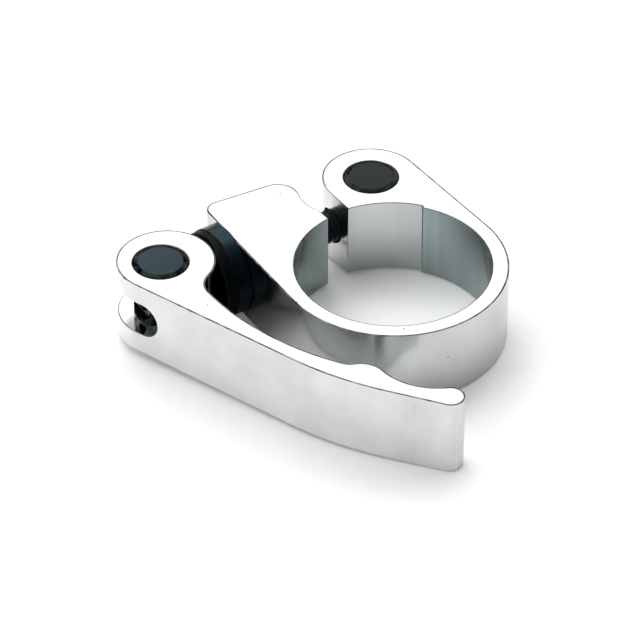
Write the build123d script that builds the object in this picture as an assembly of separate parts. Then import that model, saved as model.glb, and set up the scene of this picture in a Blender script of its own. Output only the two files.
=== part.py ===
from build123d import *

import os
from math import acos, cos, degrees, radians, sin, sqrt, tan

# Quick-release seatpost clamp, in millimetres.
# The origin is the centre of the bore on the ring's bottom face and +Z points up the seat tube.
# +X runs along the clamp bolt towards the barrel nut, and +Y points out through the split.
# The lever is modelled closed, with its arm hugging the ring.

# Split ring
BORE_RADIUS = 17.45
RING_WALL = 3.0
RING_HEIGHT = 14.6
EDGE_BREAK = 0.25

# Split between the two lugs, a little towards the barrel nut
SPLIT_WIDTH = 4.6
SPLIT_OFFSET = 0.4

# Shallow relief in the bore wall that runs out into the split
RELIEF_DEPTH = 0.6
RELIEF_START_DEG = 37.5

# Bolt line, measured outwards from the bore wall
BOLT_STANDOFF = 6.05
BOLT_RADIUS = 3.0
BOLT_HOLE_CLEARANCE = 0.4
BOLT_PAST_NUT = 4.0
BOLT_END_CHAMFER = 0.4
BOLT_SOCKET_WIDTH = 3.0
BOLT_SOCKET_DEPTH = 3.5
THREAD_CLEARANCE = 0.08

# Near lug, whose flat outer side leaves the ring as a tangent and leans in towards the tip
NEAR_LUG_TAPER_DEG = 3.2
NEAR_LUG_REACH = 9.8
NEAR_LUG_END_LEAN_DEG = 6.0
NEAR_LUG_OUTER_CORNER = 2.4
NEAR_LUG_INNER_CORNER = 3.8
HOLLOW_DEPTH = 0.75
HOLLOW_WIDTH = 6.6
HOLLOW_PAST_BOLT = 0.3

# Barrel nut and lever pin, with a wide shallow bevel at both ends
PIN_RADIUS = 5.0
PIN_CLEARANCE = 0.05
PIN_PROUD = 0.25
PIN_BEVEL_WIDTH = 1.0
PIN_BEVEL_HEIGHT = 0.3

# Washer, measured along the bolt's axis, and the saddle that the cam bears on
WASHER_RADIUS = 8.3
WASHER_THICKNESS = 3.35
WASHER_HOLE_CLEARANCE = 0.25
WASHER_CHAMFER = 0.3
SADDLE_RIM_STEP = 0.2
SADDLE_WEB = 0.95
SADDLE_LIP = 2.1
SADDLE_GAP = 0.2

# Cam on the lever's head
CAM_RADIUS = 8.8
CAM_THROW = 1.03
CAM_THROW_DEG = -5.0

# Fork slot that the bolt swings through
FORK_SLOT_HEIGHT = 6.6
FORK_SLOT_START_DEG = -3.0
LEVER_SWING_DEG = 205.0
FORK_SLOT_OVERRUN_DEG = 8.0

# Outer side of the lever arm: two straight runs joined by a wide bend
ARM_RUN_DEG = -71.2
ARM_RUN_LENGTH = 43.6
ARM_BEND_RADIUS = 60.0
TIP_RUN_DEG = -54.0
TIP_RUN_LENGTH = 22.5

# Inner side of the arm: a long hollow curve, thinnest at its waist, a little before the bend
NECK_FILLET = 4.6
ARM_INNER_RADIUS = 51.6
WAIST_THICKNESS = 2.95
WAIST_BEFORE_BEND = 13.9

# Finger end of the arm: heel, crest, finger scoop and round tip
HEEL_FILLET = 2.6
CREST_THICKNESS = 6.0
CREST_RADIUS = 4.6
SCOOP_THICKNESS = 3.2
SCOOP_RADIUS = 11.4
TIP_RADIUS = 2.45

# Places worked out from the sizes above
outer_radius = BORE_RADIUS + RING_WALL
mid_height = RING_HEIGHT / 2
split_near_x = SPLIT_OFFSET - SPLIT_WIDTH / 2
split_far_x = SPLIT_OFFSET + SPLIT_WIDTH / 2
bolt_y = BORE_RADIUS + BOLT_STANDOFF
far_lug_radius = (outer_radius - split_far_x) / 2
nut_x = outer_radius - far_lug_radius
near_lug_lean = radians(NEAR_LUG_TAPER_DEG)
seat_x = (bolt_y * sin(near_lug_lean) - outer_radius) / cos(near_lug_lean)
washer_face_x = seat_x - WASHER_THICKNESS
saddle_radius = WASHER_RADIUS - SADDLE_RIM_STEP
swept_cam_radius = CAM_RADIUS + CAM_THROW
saddle_bore_radius = swept_cam_radius + SADDLE_GAP
pin_x = washer_face_x - SADDLE_WEB - saddle_bore_radius
pin_length = RING_HEIGHT + 2 * PIN_PROUD
bolt_outer_end_x = pin_x - sqrt(PIN_RADIUS**2 - BOLT_RADIUS**2)
bolt_inner_end_x = nut_x + BOLT_PAST_NUT
beyond = 3 * outer_radius

pin_axis = Pos(pin_x, bolt_y, 0)
nut_axis = Pos(nut_x, bolt_y, 0)


def direction(angle_deg):
    """Unit vector in the plan at an angle from +X."""
    return Vector(cos(radians(angle_deg)), sin(radians(angle_deg)))


def bolt_line_cylinder(radius, start_x, end_x):
    """Cylinder about the bolt's axis between two places on X."""
    plane = Plane(origin=(start_x, bolt_y, mid_height), z_dir=(1, 0, 0))
    return plane * Cylinder(radius, end_x - start_x, align=(Align.CENTER, Align.CENTER, Align.MIN))


def break_top_and_bottom(solid, size):
    """Chamfer every edge that lies in the solid's top or bottom face."""
    levels = solid.edges().filter_by(Plane.XY).group_by(Axis.Z)
    return chamfer(levels[0] + levels[-1], size)


def circles_meet(centre_a, radius_a, centre_b, radius_b):
    """Where two circles cross, on the left hand going from centre a to centre b."""
    between = centre_b - centre_a
    span = between.length
    along = (span**2 + radius_a**2 - radius_b**2) / (2 * span)
    aside = sqrt(radius_a**2 - along**2)
    unit = between / span
    return centre_a + unit * along + Vector(-unit.Y, unit.X) * aside


def ring_outline():
    """Outside of the ring in plan, with both lugs and the open split.

    The near lug's outer side leaves the ring as a tangent, its end leans and its inner side has
    a shallow hollow beside the bolt. The far lug is a full round end about the barrel nut, flush
    with the ring's outer side.
    """
    end_y = bolt_y + NEAR_LUG_REACH
    outer_corner = Vector(seat_x + NEAR_LUG_REACH * tan(near_lug_lean), end_y)
    end_drop = (split_near_x - outer_corner.X) * tan(radians(NEAR_LUG_END_LEAN_DEG))
    inner_corner = Vector(split_near_x, end_y - end_drop)
    tangent_deg = 180 - NEAR_LUG_TAPER_DEG
    hollow_y = bolt_y + HOLLOW_PAST_BOLT
    hollow_low = Vector(split_near_x, hollow_y - HOLLOW_WIDTH / 2)
    hollow_middle = Vector(split_near_x - HOLLOW_DEPTH, hollow_y)
    hollow_high = Vector(split_near_x, hollow_y + HOLLOW_WIDTH / 2)
    outline = make_face(
        [
            CenterArc((0, 0), outer_radius, tangent_deg, 360 - tangent_deg),
            Line((outer_radius, 0), (outer_radius, bolt_y)),
            CenterArc((nut_x, bolt_y), far_lug_radius, 0, 180),
            Line((split_far_x, bolt_y), (split_far_x, 0)),
            Line((split_far_x, 0), (split_near_x, 0)),
            Line((split_near_x, 0), hollow_low),
            ThreePointArc(hollow_low, hollow_middle, hollow_high),
            Line(hollow_high, inner_corner),
            Line(inner_corner, outer_corner),
            Line(outer_corner, direction(tangent_deg) * outer_radius),
        ]
    )
    at_outer = outline.vertices().sort_by_distance(outer_corner)[0]
    outline = fillet(at_outer, NEAR_LUG_OUTER_CORNER)
    at_inner = outline.vertices().sort_by_distance(inner_corner)[0]
    return fillet(at_inner, NEAR_LUG_INNER_CORNER)


def relief_profile():
    """Shallow relief in the bore wall, as a sector of a slightly larger disc."""
    radius = BORE_RADIUS + RELIEF_DEPTH
    end_deg = degrees(acos(SPLIT_OFFSET / radius))
    return make_face(
        [
            Line((0, 0), direction(RELIEF_START_DEG) * radius),
            CenterArc((0, 0), radius, RELIEF_START_DEG, end_deg - RELIEF_START_DEG),
            Line(direction(end_deg) * radius, (0, 0)),
        ]
    )


def make_clamp_ring():
    """Split ring with its two lugs, the bolt's hole and the barrel nut's hole."""
    profile = ring_outline() - Circle(BORE_RADIUS) - relief_profile()
    ring = break_top_and_bottom(extrude(profile, RING_HEIGHT), EDGE_BREAK)
    nut_hole = Cylinder(PIN_RADIUS + PIN_CLEARANCE, beyond)
    bolt_hole = bolt_line_cylinder(BOLT_RADIUS + BOLT_HOLE_CLEARANCE, washer_face_x, nut_x)
    return ring - nut_axis * nut_hole - bolt_hole


def make_cross_pin(hole_radius):
    """Round pin, a little proud at both ends, with a cross hole at mid height."""
    end = pin_length / 2
    half_section = Polyline(
        (0, -end),
        (PIN_RADIUS - PIN_BEVEL_WIDTH, -end),
        (PIN_RADIUS, PIN_BEVEL_HEIGHT - end),
        (PIN_RADIUS, end - PIN_BEVEL_HEIGHT),
        (PIN_RADIUS - PIN_BEVEL_WIDTH, end),
        (0, end),
        close=True,
    )
    pin = revolve(Plane.XZ * make_face(half_section), Axis.Z)
    return pin - Rot(0, 90, 0) * Cylinder(hole_radius, beyond)


def make_clamp_bolt():
    """Bolt from the lever pin to the barrel nut, with a hexagon socket in its outer end."""
    bolt = bolt_line_cylinder(BOLT_RADIUS, bolt_outer_end_x, bolt_inner_end_x)
    bolt = chamfer(bolt.edges().filter_by(GeomType.CIRCLE), BOLT_END_CHAMFER)
    socket_plane = Plane(origin=(bolt_outer_end_x, bolt_y, mid_height), z_dir=(1, 0, 0))
    hexagon = RegularPolygon(BOLT_SOCKET_WIDTH / 2, 6, major_radius=False)
    return bolt - extrude(socket_plane * hexagon, BOLT_SOCKET_DEPTH)


def make_cam_washer():
    """Round washer, square to the bolt in front and cut to the near lug's taper behind."""
    washer = bolt_line_cylinder(WASHER_RADIUS, washer_face_x, 0)
    lug_side = Plane(
        origin=(seat_x, bolt_y, mid_height), z_dir=(cos(near_lug_lean), -sin(near_lug_lean), 0)
    )
    washer = chamfer(washer.edges().group_by(Axis.X)[0], WASHER_CHAMFER)
    washer = split(washer, bisect_by=lug_side, keep=Keep.BOTTOM)
    washer = chamfer(washer.edges().filter_by(GeomType.ELLIPSE), WASHER_CHAMFER)
    return washer - bolt_line_cylinder(BOLT_RADIUS + WASHER_HOLE_CLEARANCE, washer_face_x, 0)


def make_cam_saddle():
    """Flat-backed saddle, hollowed to clear the cam all through its swing."""
    saddle = bolt_line_cylinder(saddle_radius, washer_face_x - SADDLE_LIP, washer_face_x)
    hole_radius = BOLT_RADIUS + WASHER_HOLE_CLEARANCE
    hole = bolt_line_cylinder(hole_radius, washer_face_x - beyond, washer_face_x + 1)
    return saddle - hole - pin_axis * Cylinder(saddle_bore_radius, beyond)


def short_arc(centre, radius, start, end):
    """Arc of under half a turn about a centre, between two points of its circle."""
    middle = centre + ((start - centre) + (end - centre)).normalized() * radius
    return ThreePointArc(start, middle, end)


def touch(centre, radius, other_centre):
    """Point of a circle that lies towards another centre."""
    return centre + (other_centre - centre).normalized() * radius


def lever_profile():
    """Lever in plan about its pin: cam head, neck, thin arm, crest, scoop and tip."""
    arm_run = direction(ARM_RUN_DEG)
    arm_inward = direction(ARM_RUN_DEG + 90)
    tip_run = direction(TIP_RUN_DEG)
    tip_inward = direction(TIP_RUN_DEG + 90)

    cam = direction(CAM_THROW_DEG) * CAM_THROW
    head_side = cam - arm_inward * CAM_RADIUS
    head_top = cam + direction(90) * CAM_RADIUS
    bend_corner = head_side + arm_run * ARM_RUN_LENGTH
    bend_reach = ARM_BEND_RADIUS * tan(radians(TIP_RUN_DEG - ARM_RUN_DEG) / 2)
    bend_start = bend_corner - arm_run * bend_reach
    bend_end = bend_corner + tip_run * bend_reach
    tip_end = bend_corner + tip_run * TIP_RUN_LENGTH

    def above_tip_run(from_tip, height):
        return tip_end - tip_run * from_tip + tip_inward * height

    # The scoop's circle touches the tip's and the crest's, which fixes where both lie.
    tip_drop = 2 * TIP_RADIUS - SCOOP_THICKNESS
    crest_drop = CREST_THICKNESS - SCOOP_THICKNESS
    scoop_back = TIP_RADIUS + sqrt(tip_drop * (2 * SCOOP_RADIUS + 2 * TIP_RADIUS - tip_drop))
    crest_back = scoop_back + sqrt(crest_drop * (2 * SCOOP_RADIUS + 2 * CREST_RADIUS - crest_drop))
    tip = above_tip_run(TIP_RADIUS, TIP_RADIUS)
    scoop = above_tip_run(scoop_back, SCOOP_THICKNESS + SCOOP_RADIUS)
    crest = above_tip_run(crest_back, CREST_THICKNESS - CREST_RADIUS)

    waist = bend_corner - arm_run * WAIST_BEFORE_BEND
    hollow = waist + arm_inward * (WAIST_THICKNESS + ARM_INNER_RADIUS)
    heel = circles_meet(
        crest, CREST_RADIUS + HEEL_FILLET, hollow, ARM_INNER_RADIUS - HEEL_FILLET
    )
    neck = circles_meet(hollow, ARM_INNER_RADIUS - NECK_FILLET, cam, CAM_RADIUS + NECK_FILLET)

    tip_foot = tip - tip_inward * TIP_RADIUS
    tip_to_scoop = touch(tip, TIP_RADIUS, scoop)
    scoop_to_crest = touch(crest, CREST_RADIUS, scoop)
    crest_to_heel = touch(crest, CREST_RADIUS, heel)
    heel_to_arm = hollow + (heel - hollow).normalized() * ARM_INNER_RADIUS
    arm_to_neck = hollow + (neck - hollow).normalized() * ARM_INNER_RADIUS
    neck_to_head = touch(cam, CAM_RADIUS, neck)

    return make_face(
        [
            Line(head_side, bend_start),
            TangentArc(bend_start, bend_end, tangent=arm_run),
            Line(bend_end, tip_foot),
            ThreePointArc(tip_foot, tip + tip_run * TIP_RADIUS, tip_to_scoop),
            short_arc(scoop, SCOOP_RADIUS, tip_to_scoop, scoop_to_crest),
            short_arc(crest, CREST_RADIUS, scoop_to_crest, crest_to_heel),
            short_arc(heel, HEEL_FILLET, crest_to_heel, heel_to_arm),
            short_arc(hollow, ARM_INNER_RADIUS, heel_to_arm, arm_to_neck),
            short_arc(neck, NECK_FILLET, arm_to_neck, neck_to_head),
            ThreePointArc(neck_to_head, head_top, head_side),
        ]
    )


def make_lever():
    """One-piece lever: cam head forked by the bolt's slot, bored for its pin."""
    lever = break_top_and_bottom(extrude(lever_profile(), RING_HEIGHT), EDGE_BREAK)
    pin_hole = Cylinder(PIN_RADIUS + PIN_CLEARANCE, beyond)
    slot_end_deg = LEVER_SWING_DEG + FORK_SLOT_OVERRUN_DEG
    reach = 2 * swept_cam_radius
    sector = Cylinder(reach, FORK_SLOT_HEIGHT, arc_size=slot_end_deg - FORK_SLOT_START_DEG)
    round_end = Rot(0, 90, 0) * Cylinder(
        FORK_SLOT_HEIGHT / 2, reach, align=(Align.CENTER, Align.CENTER, Align.MIN)
    )
    slot = Rot(0, 0, FORK_SLOT_START_DEG) * (sector + round_end) + Rot(0, 0, slot_end_deg) * round_end
    return pin_axis * (lever - pin_hole - Pos(0, 0, mid_height) * slot)


nodes = {
    "clamp_ring": make_clamp_ring(),
    "barrel_nut": Pos(0, 0, mid_height) * nut_axis * make_cross_pin(BOLT_RADIUS + THREAD_CLEARANCE),
    "clamp_bolt": make_clamp_bolt(),
    "cam_washer": make_cam_washer(),
    "cam_saddle": make_cam_saddle(),
    "lever_pin": Pos(0, 0, mid_height) * pin_axis * make_cross_pin(BOLT_RADIUS),
    "lever": make_lever(),
}

os.makedirs("parts", exist_ok=True)
for name, solid in nodes.items():
    export_step(solid, f"parts/{name}.step")
print(f"pin_x {pin_x:.3f} nut_x {nut_x:.3f} bolt_y {bolt_y:.3f} seat_x {seat_x:.3f}")
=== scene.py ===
"""Studio scene of a quick-release seatpost clamp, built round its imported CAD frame.

Sizes are in millimetres in the part's own frame: the origin is the centre of the bore on the
ring's bottom face, +Z points up the seat tube, +X runs along the bolt towards the barrel nut
and +Y points out through the split. Meshes are turned into metres when they are made.
"""

from __future__ import annotations

import logging
import math
from dataclasses import dataclass, field
from enum import Enum
from typing import ClassVar, Protocol

import bmesh
import bpy
import numpy as np
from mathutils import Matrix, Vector, geometry

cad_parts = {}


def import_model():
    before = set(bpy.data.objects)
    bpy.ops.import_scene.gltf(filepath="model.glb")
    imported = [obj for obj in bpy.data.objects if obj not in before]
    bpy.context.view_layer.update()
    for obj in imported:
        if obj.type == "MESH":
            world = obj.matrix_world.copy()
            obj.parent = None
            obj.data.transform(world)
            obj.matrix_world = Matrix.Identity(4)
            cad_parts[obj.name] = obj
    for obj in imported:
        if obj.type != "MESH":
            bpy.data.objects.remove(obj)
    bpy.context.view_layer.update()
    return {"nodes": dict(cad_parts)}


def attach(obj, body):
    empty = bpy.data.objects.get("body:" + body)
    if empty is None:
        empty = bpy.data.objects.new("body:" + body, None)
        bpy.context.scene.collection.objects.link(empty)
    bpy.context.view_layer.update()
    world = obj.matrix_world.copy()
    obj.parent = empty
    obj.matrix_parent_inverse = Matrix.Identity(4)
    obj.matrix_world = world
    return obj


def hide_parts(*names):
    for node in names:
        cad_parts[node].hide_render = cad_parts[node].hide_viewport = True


LOG = logging.getLogger("seatpost_clamp")

MM = 0.001
WELD_MM = 0.001
ARC_STEP_MM = 0.35
ARC_STEP_DEG = (1.8, 15.0)
HOLE_EDGE_MM = 0.12
BOLT_STEPS = 96

Array = np.ndarray
Triple = tuple[float, float, float]
Span = tuple[float, float, float, float]
Socket = bpy.types.NodeSocket


# Plan curves: one row for each point, with x, y and the outward normal's x, y.


def polar(angle_deg: float, radius: float = 1.0) -> Array:
    """Point at an angle from +X and a distance from the origin."""
    angle = math.radians(angle_deg)
    return np.array([math.cos(angle), math.sin(angle)]) * radius


def unit(vectors: Array) -> Array:
    """Each vector divided by its own length."""
    return vectors / np.maximum(np.linalg.norm(vectors, axis=-1, keepdims=True), 1e-12)


def line(start: Array, end: Array) -> Array:
    """Straight run whose outward normal is its heading turned a quarter to the right.

    Args:
        start: First point.
        end: Last point.

    Returns:
        Rows of a plan curve.
    """
    heading = unit(np.asarray(end, float) - np.asarray(start, float))
    normal = [heading[1], -heading[0]]
    return np.array([[*start, *normal], [*end, *normal]])


def arc(centre: Array, radius: float, start_deg: float, sweep_deg: float) -> Array:
    """Circular run: centre + radius * (cos a, sin a), sampled every 0.35 mm or so.

    Args:
        centre: Middle of the circle.
        radius: Radius of the circle.
        start_deg: Angle of the first point.
        sweep_deg: Angle travelled. Positive turns left and bulges out of the material.

    Returns:
        Rows of a plan curve.
    """
    finest, coarsest = ARC_STEP_DEG
    step_deg = min(max(math.degrees(ARC_STEP_MM / radius), finest), coarsest)
    count = max(3, math.ceil(abs(sweep_deg) / step_deg) + 1)
    angle = np.radians(start_deg + np.linspace(0.0, sweep_deg, count))
    spoke = np.column_stack([np.cos(angle), np.sin(angle)])
    return np.hstack([np.asarray(centre) + radius * spoke, math.copysign(1, sweep_deg) * spoke])


def arc_between(centre: Array, start: Array, end: Array, left: bool) -> Array:
    """Circular run about a centre from one of its points to another, turning left or right.

    Args:
        centre: Middle of the circle.
        start: First point.
        end: Last point.
        left: Whether it turns left.

    Returns:
        Rows of a plan curve.
    """
    first = math.degrees(math.atan2(*(start - centre)[::-1]))
    last = math.degrees(math.atan2(*(end - centre)[::-1]))
    sweep = (last - first) % 360.0 if left else -((first - last) % 360.0)
    return arc(centre, float(np.linalg.norm(start - centre)), first, sweep)


def close_curve(runs: list[tuple[Array, float]]) -> Array:
    """Joins runs into one closed curve and rounds the corners between them.

    A corner of turn t and rounding r is cut back r * tan(t / 2) along both runs, and an arc of
    radius r that touches both takes its place.

    Args:
        runs: Each run's rows and the rounding of the corner at its end.

    Returns:
        Rows of the closed curve, its first point not repeated.
    """
    rounded, cuts = [], []
    for index, (before, radius) in enumerate(runs):
        after = runs[(index + 1) % len(runs)][0]
        heading = np.array([-before[-1, 3], before[-1, 2]])
        leaving = np.array([-after[0, 3], after[0, 2]])
        turn = math.atan2(heading[0] * leaving[1] - heading[1] * leaving[0], heading @ leaving)
        if abs(turn) < math.radians(1.0):
            rounded.append(None)
            cuts.append(0.0)
            continue
        cut = radius * math.tan(abs(turn) / 2)
        side = math.copysign(1.0, turn) * np.array([-heading[1], heading[0]])
        start = after[0, :2] - heading * cut
        centre = start + side * radius
        first = math.degrees(math.atan2(*(start - centre)[::-1]))
        rounded.append(arc(centre, radius, first, math.degrees(turn)))
        cuts.append(cut)
    kept = []
    for index, (rows, _) in enumerate(runs):
        from_start = np.linalg.norm(rows[:, :2] - rows[0, :2], axis=1)
        from_end = np.linalg.norm(rows[:, :2] - rows[-1, :2], axis=1)
        keep = from_end > cuts[index] + 1e-4
        if cuts[index - 1]:
            keep &= from_start > cuts[index - 1] + 1e-4
        kept.append(rows[keep])
        if rounded[index] is not None:
            kept.append(rounded[index])
    return np.vstack(kept)


def touch(centre: Array, radius: float, other: Array) -> Array:
    """Point of a circle that lies towards another point."""
    return centre + unit(other - centre) * radius


def circles_meet(centre_a: Array, radius_a: float, centre_b: Array, radius_b: float) -> Array:
    """Where two circles cross, on the left hand going from centre a to centre b.

    Args:
        centre_a: Middle of the first circle.
        radius_a: Its radius.
        centre_b: Middle of the second circle.
        radius_b: Its radius.

    Returns:
        The crossing.
    """
    between = centre_b - centre_a
    span = float(np.linalg.norm(between))
    along = (span**2 + radius_a**2 - radius_b**2) / (2 * span)
    aside = math.sqrt(radius_a**2 - along**2)
    ahead = between / span
    return centre_a + ahead * along + np.array([-ahead[1], ahead[0]]) * aside


@dataclass
class Track:
    """A closed plan curve with its running length, read anywhere along it."""

    rows: Array

    def __post_init__(self) -> None:
        """Closes the curve and measures it."""
        self.closed = np.vstack([self.rows, self.rows[:1]])
        steps = np.linalg.norm(np.diff(self.closed[:, :2], axis=0), axis=1)
        self.run = np.concatenate([[0.0], np.cumsum(steps)])

    def at(self, run: Array) -> tuple[Array, Array]:
        """Points and outward normals at distances along the curve."""
        read = [np.interp(run, self.run, self.closed[:, k]) for k in range(4)]
        return np.column_stack(read[:2]), unit(np.column_stack(read[2:]))

    def run_near(self, point: Array) -> float:
        """Distance along the curve of its nearest place to a point.

        Args:
            point: A place on the plan.

        Returns:
            The distance.
        """
        start, step = self.closed[:-1, :2], np.diff(self.closed[:, :2], axis=0)
        length = np.maximum(np.linalg.norm(step, axis=1), 1e-9)
        share = np.clip(((point - start) * step).sum(1) / length**2, 0.0, 1.0)
        gap = np.linalg.norm(start + share[:, None] * step - point, axis=1)
        best = int(np.argmin(gap))
        return float(self.run[best] + share[best] * length[best])


# Meshes


def inside(points: Array, loop: Array) -> Array:
    """Whether each point is inside a closed loop, by counting the edges to its right.

    Args:
        points: Places to test.
        loop: Corners of the loop.

    Returns:
        One truth value for each point.
    """
    x, y = points[:, :1], points[:, 1:]
    start, end = loop, np.roll(loop, -1, axis=0)
    spans = (start[:, 1] > y) != (end[:, 1] > y)
    rise = end[:, 1] - start[:, 1]
    slope = (end[:, 0] - start[:, 0]) / np.where(rise == 0, 1.0, rise)
    return ((x < start[:, 0] + (y - start[:, 1]) * slope) & spans).sum(1) % 2 == 1


def tile(loops: list[Array], rails: Array, keep: Array | None, holes: list[Array]) -> tuple[Array, Array]:
    """Cuts a flat region into triangles that follow its loops and rails.

    Args:
        loops: Closed loops of points that are edges of the mesh.
        rails: Straight lines that are edges too, as rows of x, y, x, y.
        keep: Outer loop, or None where the whole hull is kept.
        holes: Loops whose insides are left open.

    Returns:
        The points and the triangles.
    """
    points, edges, count = [], [], 0
    for loop in loops:
        step = np.arange(len(loop))
        edges.append(np.column_stack([step, np.roll(step, -1)]) + count)
        points.append(loop)
        count += len(loop)
    if len(rails):
        step = np.arange(len(rails))
        edges.append(np.column_stack([step, step + len(rails)]) + count)
        points += [rails[:, :2], rails[:, 2:]]
    made = geometry.delaunay_2d_cdt(
        np.vstack(points).tolist(), np.vstack(edges).tolist(), [], 0, 1e-5
    )
    spots, faces = np.array(made[0], float), np.array(made[2], int)
    centres = spots[faces].mean(axis=1)
    wanted = np.ones(len(faces), bool) if keep is None else inside(centres, keep)
    for hole in holes:
        wanted &= ~inside(centres, hole)
    return spots, faces[wanted]


@dataclass
class Skin:
    """Patches of one piece's surface, gathered and then welded into a single mesh."""

    points: list[Array] = field(default_factory=list)
    normals: list[Array] = field(default_factory=list)
    faces: list[Array] = field(default_factory=list)
    count: int = 0

    def add(self, points: Array, normals: Array, faces: Array) -> None:
        """Adds triangles, each turned to face the way its corners' normals point.

        Args:
            points: Corners.
            normals: One normal for each corner.
            faces: Triangles of corners.
        """
        corner = points[faces]
        facing = np.cross(corner[:, 1] - corner[:, 0], corner[:, 2] - corner[:, 0])
        backward = (facing * normals[faces].sum(axis=1)).sum(axis=1) < 0
        faces = np.where(backward[:, None], faces[:, ::-1], faces)
        self.points.append(points)
        self.normals.append(normals)
        self.faces.append(faces + self.count)
        self.count += len(points)

    def grid(self, points: Array, normals: Array) -> None:
        """Adds a sheet whose points and normals stand in rows and columns.

        Args:
            points: Rows and columns of points.
            normals: As many normals.
        """
        rows, columns = points.shape[:2]
        spot = np.arange(rows * columns).reshape(rows, columns)
        a, b, c, d = spot[:-1, :-1], spot[1:, :-1], spot[1:, 1:], spot[:-1, 1:]
        quads = np.stack([a, b, c, a, c, d], axis=-1).reshape(-1, 3)
        self.add(points.reshape(-1, 3), normals.reshape(-1, 3), quads)

    def build(self, name: str) -> bpy.types.Object:
        """Welds the patches and keeps each corner's own normal.

        Args:
            name: Name of the finished piece.

        Returns:
            The piece, with its place in its mesh, in metres.
        """
        points, normals = np.vstack(self.points) * MM, np.vstack(self.normals)
        faces = np.vstack(self.faces)
        mesh = bpy.data.meshes.new(name)
        mesh.from_pydata(points.tolist(), [], faces.tolist())
        aim = mesh.attributes.new("aim", "FLOAT_VECTOR", "CORNER")
        aim.data.foreach_set("vector", normals[faces.ravel()].astype(np.float32).ravel())
        work = bmesh.new()
        work.from_mesh(mesh)
        bmesh.ops.remove_doubles(work, verts=work.verts, dist=WELD_MM * MM)
        work.to_mesh(mesh)
        work.free()
        kept = np.empty(len(mesh.loops) * 3, np.float32)
        mesh.attributes["aim"].data.foreach_get("vector", kept)
        mesh.attributes.remove(mesh.attributes["aim"])
        mesh.shade_smooth()
        mesh.normals_split_custom_set(unit(kept.reshape(-1, 3)).tolist())
        piece = bpy.data.objects.new(name, mesh)
        bpy.context.scene.collection.objects.link(piece)
        return piece


def grid_normals(points: Array, inward_to: Array) -> Array:
    """Normals of a sheet closed along its columns, turned towards each row's own middle.

    Args:
        points: Rows of closed loops of points.
        inward_to: One point for each row, that its normals point to.

    Returns:
        One normal for each point.
    """
    across = np.gradient(points, axis=0)
    round_loop = np.roll(points, -1, axis=1) - np.roll(points, 1, axis=1)
    normals = unit(np.cross(across, round_loop))
    towards = ((inward_to[:, None, :] - points) * normals).sum(-1, keepdims=True)
    return np.where(towards < 0, -normals, normals)


def closed_columns(points: Array) -> Array:
    """The same rows with the first column repeated at the end."""
    return np.concatenate([points, points[:, :1]], axis=1)


@dataclass(frozen=True)
class Opening:
    """A round-ended hole through a wall, in the wall's own length and height.

    Its outline is every place at a distance of radius from a level line of twice half_run. On a
    round wall of radius bend, the ends are as far along the wall as asin(x / bend) * bend.
    """

    run: float
    height: float
    radius: float
    half_run: float = 0.0
    rim: float = 0.0
    bend: float = 0.0
    mirrored: bool = False

    def loop(self, grow: float = 0.0) -> Array:
        """Points of the outline, grown outwards by a distance.

        Args:
            grow: Distance by which the outline is grown.

        Returns:
            Places on the wall.
        """
        turn = np.radians(np.linspace(-90.0, 90.0, 33))
        reach = (self.radius + grow) * np.cos(turn)
        end = self.bend * np.arcsin(reach / self.bend) if self.bend else reach
        rise = (self.radius + grow) * np.sin(turn)
        pieces = [np.column_stack([self.half_run + end, rise])]
        if self.half_run:
            side = np.linspace(self.half_run, -self.half_run, 161)[1:-1]
            pieces.append(np.column_stack([side, np.full(len(side), rise[-1])]))
            pieces.append(np.column_stack([-self.half_run - end[::-1], rise[::-1]]))
            pieces.append(np.column_stack([-side, np.full(len(side), rise[0])]))
        else:
            pieces.append(np.column_stack([-end[::-1], rise[::-1]])[1:-1])
        outline = np.vstack(pieces)
        outline[:, 0] *= -1.0 if self.mirrored else 1.0
        return outline + [self.run, self.height]

    def sink(self, spots: Array) -> tuple[Array, Array, Array]:
        """How a quarter-round rim pushes the wall in near the outline.

        At a distance d outside the outline the wall lies rim - sqrt(rim^2 - (rim - d)^2) deep.

        Args:
            spots: Places on the wall, by length and height.

        Returns:
            Depth, the share of the normal that leans into the opening, and that lean's
            direction along the wall's length and height.
        """
        ahead = spots - [self.run, self.height]
        past = np.sign(ahead[:, 0]) * np.maximum(np.abs(ahead[:, 0]) - self.half_run, 0.0)
        away = np.column_stack([past, ahead[:, 1]])
        short = np.clip(self.rim - (np.linalg.norm(away, axis=1) - self.radius), 0.0, self.rim)
        depth = self.rim - np.sqrt(np.maximum(self.rim**2 - short**2, 0.0))
        return depth, short / max(self.rim, 1e-9), -unit(away)


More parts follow.
